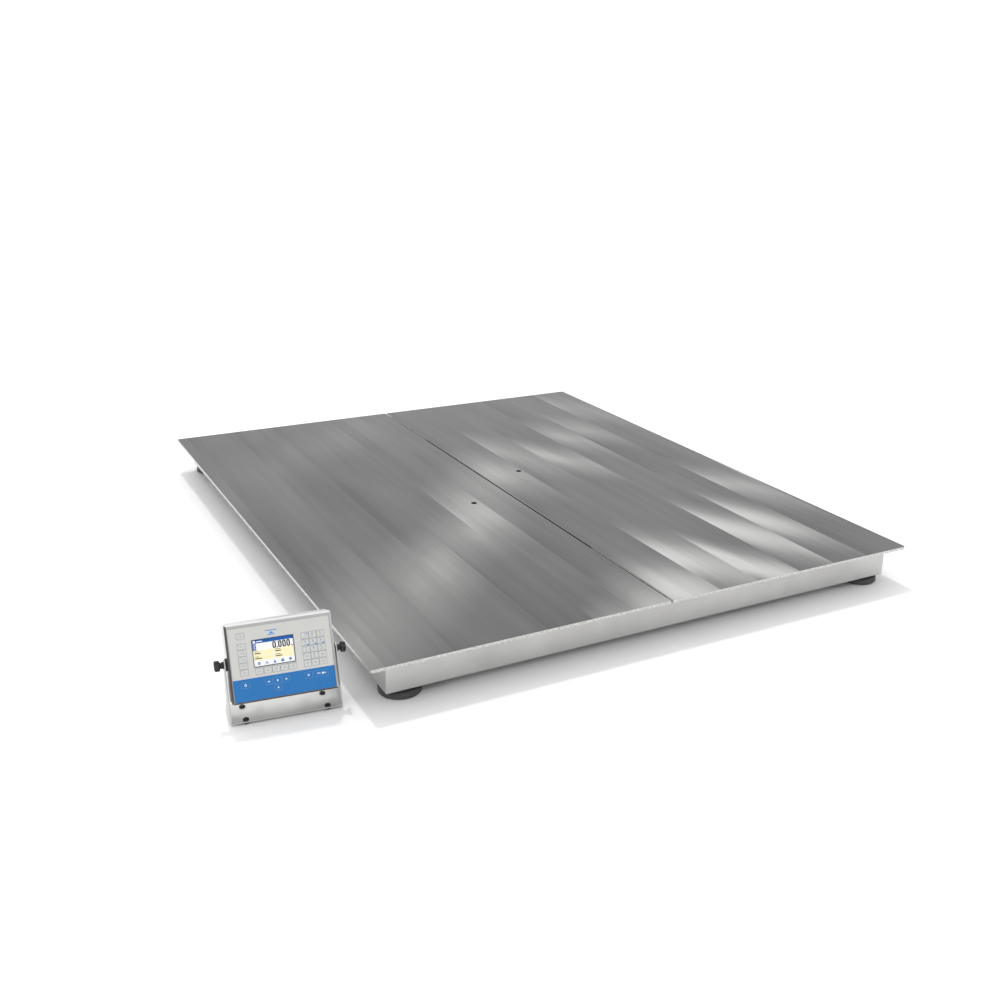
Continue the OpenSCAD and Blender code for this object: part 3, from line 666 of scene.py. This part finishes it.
def draw_icons(blue, white, xc, zc, step, y):
    """Five plain icons along the bottom of the screen, white details over blue shapes."""
    over = 0.14
    # a cog
    prism(blue, poly(xc, zc, 2.9, 4), y, 0.09)
    prism(blue, poly(xc, zc, 2.7, 4, 45), y, 0.1)
    ring(white, xc, zc, 2.0, 2.0, 0.9, 0.5, y, over)
    # three bars on a line
    xc += step
    for a in (-1, 0, 1):
        prism(blue, rounded(xc + 1.5 * a, zc + 0.4 - 0.5 * a, 1.1, 3.0 - abs(a), 0.4, 3), y, 0.09)
    prism(blue, rounded(xc, zc - 1.6, 5.0, 0.7, 0.3, 2), y, 0.1)
    # a drop
    xc += step
    prism(blue, poly(xc, zc - 1.2, 1.8, 20), y, 0.09)
    prism(blue, rounded(xc, zc + 0.8, 1.2, 4.0, 0.5, 3), y, 0.1)
    # a box
    xc += step
    prism(blue, rounded(xc, zc, 5.0, 4.8, 1.4, 4), y, 0.09)
    prism(white, rounded(xc, zc + 0.9, 2.6, 0.7, 0.3, 2), y, over)
    # a tag
    xc += step
    tip = [(-2.4, 2.4), (-2.4, -0.4), (0, -2.7), (2.4, -0.4), (2.4, 2.4)]
    prism(blue, [(xc + px, zc + pz) for px, pz in tip], y, 0.09)
    prism(white, rounded(xc, zc + 1.1, 2.8, 0.7, 0.3, 2), y, over)


def dress_display():
    """The picture behind the window: title bar, readout, four fields and a row of icons."""
    lo, hi = hbox("ind_window")
    margin = 0.8
    y = hi[1] + 0.45
    x0, x1, z0, z1 = lo[0] + margin, hi[0] - margin, lo[2] + margin, hi[2] - margin
    w, h = x1 - x0, z1 - z0

    def cell(bm, u0, v0, u1, v1, d, r=0.25):
        """A field between two corners, given as shares of the screen's width and height."""
        cx, cz = x0 + (u0 + u1) / 2 * w, z1 - (v0 + v1) / 2 * h
        prism(bm, rounded(cx, cz, (u1 - u0) * w, (v1 - v0) * h, r, 3), y, d)

    glow = 0.45
    ui = {
        "screen_white": ((0.80, 0.80, 0.80), glow), "screen_blue": ((0.0, 0.085, 0.34), glow),
        "screen_cream": ((0.84, 0.76, 0.46), glow), "screen_black": ((0.004, 0.004, 0.004), 0.0),
        "screen_sky": ((0.008, 0.13, 0.45), glow),
    }
    inks = {k: ink(k, c, 0.6, g) for k, (c, g) in ui.items()}
    white, blue, cream, black, sky = bms = [bmesh.new() for _ in ui]
    # ground, title bar with its tile and caption, and three tiles down the left side
    cell(white, 0, 0, 1, 1, 0.04, 0.5)
    cell(blue, 0, 0, 1, 0.125, 0.08)
    cell(white, 0.015, 0.02, 0.075, 0.105, 0.12)
    cell(white, 0.10, 0.045, 0.25, 0.08, 0.12, 0.1)
    for k in range(3):
        drop = k * 0.088
        cell(blue, 0.0, 0.14 + drop, 0.085, 0.215 + drop, 0.08)
        cell(white, 0.028, 0.165 + drop, 0.058, 0.19 + drop, 0.12, 0.1)
    draw_readout(black, x0 + 0.565 * w, x1, z1 - 0.265 * h, y)
    # four fields, each with a caption and a value
    for r in range(2):
        for c in range(2):
            u0, v0 = 0.012 + c * 0.50, 0.405 + r * 0.195
            cell(cream, u0, v0, u0 + 0.476, v0 + 0.18, 0.08)
            cell(black, u0 + 0.02, v0 + 0.03, u0 + 0.12 + 0.03 * c, v0 + 0.05, 0.1, 0.08)
            cell(black, u0 + 0.02, v0 + 0.09, u0 + 0.17 + 0.02 * r, v0 + 0.125, 0.1, 0.08)
    draw_icons(sky, white, x0 + 0.115 * w, z1 - 0.895 * h, 0.193 * w, y)
    for k, bm in zip(ui, bms):
        new_object(k, bm, inks[k], "indicator_head")
    # dark print round the window
    bm = bmesh.new()
    face_y = hbox("ind_overlay")[0][1]
    cx, cz = (lo[0] + hi[0]) / 2, (lo[2] + hi[2]) / 2
    ring(bm, cx, cz, hi[0] - lo[0] + 1.6, hi[2] - lo[2] + 1.6, 1.4, 0.55, face_y, LIFT)
    new_object("window_border", bm, INK_DARK, "indicator_head")
    # a plain balance sign above the window: a beam, a wedge and a ground line
    bm = bmesh.new()
    cx, cz = cx - 1, hi[2] + 10.5
    prism(bm, rounded(cx, cz + 2.6, 20, 1.5, 0.7, 3), face_y, LIFT)
    prism(bm, [(cx, cz + 1.2), (cx - 4.2, cz - 3.4), (cx + 4.2, cz - 3.4)], face_y, LIFT)
    prism(bm, rounded(cx, cz - 4.8, 13, 1.2, 0.5, 3), face_y, LIFT)
    new_object("balance_sign", bm, INK_SKY, "indicator_head")


dress_display()

# ---------------------------------------------------------------- rim, knobs and bumpers


def bridge(bm, rows, closed=False):
    """Joins rings of points of one count into a skin; closed joins the last ring to the first."""
    rings = [[bm.verts.new(v) for v in row] for row in rows]
    count = len(rows[0])
    pairs = list(zip(rings, rings[1:])) + ([(rings[-1], rings[0])] if closed else [])
    for p, q in pairs:
        for i in range(count):
            j = (i + 1) % count
            bm.faces.new((p[i], p[j], q[j], q[i]))
    if not closed:
        bm.faces.new(rings[0][::-1])
        bm.faces.new(rings[-1])


def finish(name, bm, mat, body, slot, *nodes, sharp=None):
    """A piece that stands in for CAD nodes; sharp is the angle above which its edges stay hard."""
    bmesh.ops.recalc_face_normals(bm, faces=bm.faces)
    ob = new_object(name, bm, mat, body, sharp is not None)
    if sharp is not None:
        ob.data.set_sharp_from_angle(angle=math.radians(sharp))
    if nodes:
        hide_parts(*nodes)
    return ob


def make_bezel():
    """Front rim with a bevelled outer edge and a ledge behind the printed sheet."""
    lo, hi = hbox("ind_bezel")
    sheet_lo, sheet_hi = hbox("ind_overlay")
    w, h = hi[0] - lo[0], hi[2] - lo[2]
    sw, sh = sheet_hi[0] - sheet_lo[0] + 0.6, sheet_hi[2] - sheet_lo[2] + 0.6
    sx, sz = (sheet_lo[0] + sheet_hi[0]) / 2, (sheet_lo[2] + sheet_hi[2]) / 2
    bevel, side_bevel = 2.6, 3.4
    ledge = sheet_hi[1]
    rows = [
        (sx, sz, sw, sh, 1.5, lo[1]), (0, 0, w - 2 * side_bevel, h - 2 * bevel, 1.2, lo[1]),
        (0, 0, w, h, 2.0, lo[1] + bevel), (0, 0, w, h, 2.0, hi[1]),
        (sx, sz, sw - 6.6, sh - 6.6, 2.0, hi[1]), (sx, sz, sw - 6.6, sh - 6.6, 2.0, ledge),
        (sx, sz, sw, sh, 1.5, ledge),
    ]
    bm = bmesh.new()
    skin = [
        [on_head(x, y, z) for x, z in rounded(cx, cz, rw, rh, r)]
        for cx, cz, rw, rh, r, y in rows
    ]
    bridge(bm, skin, closed=True)
    finish("front_rim", bm, MATS["bezel"], "indicator_head", "housing_sheet", "ind_bezel")


def turned(rows, side, lobes=1, n=96):
    """Rings round the tilt axis: (x, radius, how far it pulls in between lobes)."""
    out = []
    for x, r, pull in rows:
        points = []
        for i in range(n):
            a = 2 * math.pi * i / n
            k = r - pull * (0.5 - 0.5 * math.cos(lobes * a)) ** 0.8
            points.append(on_head(side * x, k * math.cos(a), k * math.sin(a)))
        out.append(points)
    return out


def make_knob(name, side):
    """Six-lobed grip on a narrower hub, with its stud running into the housing."""
    lo, hi = hbox("knob_" + name)
    inner, outer = (-hi[0], -lo[0]) if side < 0 else (lo[0], hi[0])
    seat = outer - 15.5
    rows = [
        # stud and collar
        (inner, 3.4, 0), (inner + 0.8, 4.0, 0), (seat, 4.0, 0),
        (seat, 6.2, 0), (seat + 0.5, 6.5, 0), (seat + 2.0, 6.5, 0),
        # hub, widening into the lobes
        (seat + 2.8, 5.4, 0), (seat + 5.2, 5.4, 0), (seat + 6.2, 6.6, 0.2),
        (seat + 6.8, 9.2, 1.7), (seat + 7.8, 10.1, 2.3),
        # rim and dished end
        (outer - 2.0, 10.1, 2.3), (outer - 0.7, 9.4, 2.0), (outer, 8.0, 1.2),
        (outer, 5.2, 0), (outer - 1.2, 4.6, 0),
    ]
    bm = bmesh.new()
    bridge(bm, turned(rows, side, 6))
    finish("grip_" + name, bm, MATS["knob"], "clamp_knob_" + name, "knob_plastic", "knob_" + name, sharp=35)


def make_rosettes():
    """Toothed discs between the housing and the arms."""
    x1 = hbox("pivot_washers")[1][0]
    x0 = x1 - 3.3
    bm = bmesh.new()
    for side in (-1, 1):
        rows = [
            (x0, 4.3, 0), (x0, 10.2, 1.0), (x0 + 0.5, 11.0, 1.7),
            (x1 - 0.5, 11.0, 1.7), (x1, 10.2, 1.0), (x1, 4.3, 0),
        ]
        bridge(bm, turned(rows, side, 24, 192), closed=True)
    finish("tilt_rosettes", bm, MATS["washer"], "indicator_head", "washer_plastic", "pivot_washers", sharp=30)


def make_bumpers():
    """Push-in bumpers: a foot below the sheet, a neck through it and a low domed head above."""
    co = np.array([v.co for v in NODES["ind_bumpers"].data.vertices])
    centres = []
    for v in co:
        if all(math.hypot(v[0] - c[0], v[1] - c[1]) > 0.02 for c in centres):
            near = co[np.hypot(co[:, 0] - v[0], co[:, 1] - v[1]) < 0.02]
            centres.append(tuple(((near.min(0) + near.max(0)) / 2)[:2]))
    rows = [(0.0, 5.6), (0.5, 6.5), (1.2, 7.3), (2.6, 7.3), (3.0, 6.8), (3.0, 3.0), (5.0, 3.0), (5.0, 5.0),
            (5.6, 5.4), (6.8, 5.3), (7.8, 4.3), (8.3, 2.6), (8.4, 1.2)]
    bm = bmesh.new()
    turns = [2 * math.pi * i / 48 for i in range(48)]
    for cx, cy in centres:
        bridge(bm, [
            [Vector((cx + r * MM * math.cos(a), cy + r * MM * math.sin(a), z * MM)) for a in turns]
            for z, r in rows
        ])
    finish("push_bumpers", bm, MATS["bumper"], "indicator_stand", "bumper_rubber", "ind_bumpers", sharp=40)


make_bezel()
make_knob("left", -1)
make_knob("right", 1)
make_rosettes()
make_bumpers()

# ---------------------------------------------------------------- floor and light


def make_stage():
    bm = bmesh.new()
    bmesh.ops.create_grid(bm, x_segments=1, y_segments=1, size=14)
    me = bpy.data.meshes.new("floor")
    bm.to_mesh(me)
    bm.free()
    m = Mat("floor_paint")
    soft = m.noise(m.coords((0.6, 0.6, 0.6)), 1.0, 2, 0.5)
    m.set(Base_Color=m.mix(soft, grey(0.86), grey(0.88)), Roughness=0.75)
    m.b.inputs["Specular IOR Level"].default_value = 0.1
    me.materials.append(m.m)
    ob = bpy.data.objects.new("floor", me)
    ob.location = (DECK_MID.x, DECK_MID.y + 3, -0.0005)
    bpy.context.scene.collection.objects.link(ob)


def make_light():
    """A white surround, brighter behind the scale, and one soft lamp from behind on the right."""
    w = bpy.data.worlds.new("studio")
    bpy.context.scene.world = w
    w.use_nodes = True
    nt = w.node_tree
    tc = nt.nodes.new("ShaderNodeTexCoord")
    sep = nt.nodes.new("ShaderNodeSeparateXYZ")
    half = nt.nodes.new("ShaderNodeMath")
    half.operation = "MULTIPLY_ADD"
    half.inputs[1].default_value = half.inputs[2].default_value = 0.5
    ramp = nt.nodes.new("ShaderNodeValToRGB")
    nt.links.new(tc.outputs["Generated"], sep.inputs[0])
    nt.links.new(sep.outputs["Y"], half.inputs[0])
    nt.links.new(half.outputs[0], ramp.inputs[0])
    nt.links.new(ramp.outputs[0], nt.nodes["Background"].inputs[0])
    e = ramp.color_ramp.elements
    e[0].position, e[0].color = 0.0, (0.50, 0.50, 0.505, 1)
    e[1].position, e[1].color = 1.0, (1, 1, 1, 1)
    nt.nodes["Background"].inputs[1].default_value = 1.60
    lamp = bpy.data.lights.new("key", "SUN")
    lamp.energy = 0.9
    lamp.angle = math.radians(4)
    ob = bpy.data.objects.new("key", lamp)
    ob.visible_glossy = False
    ob.rotation_euler = Vector((-0.10, -0.47, -0.80)).to_track_quat("-Z", "Y").to_euler()
    bpy.context.scene.collection.objects.link(ob)
    bpy.context.scene.view_settings.view_transform = "Standard"


make_stage()
make_light()
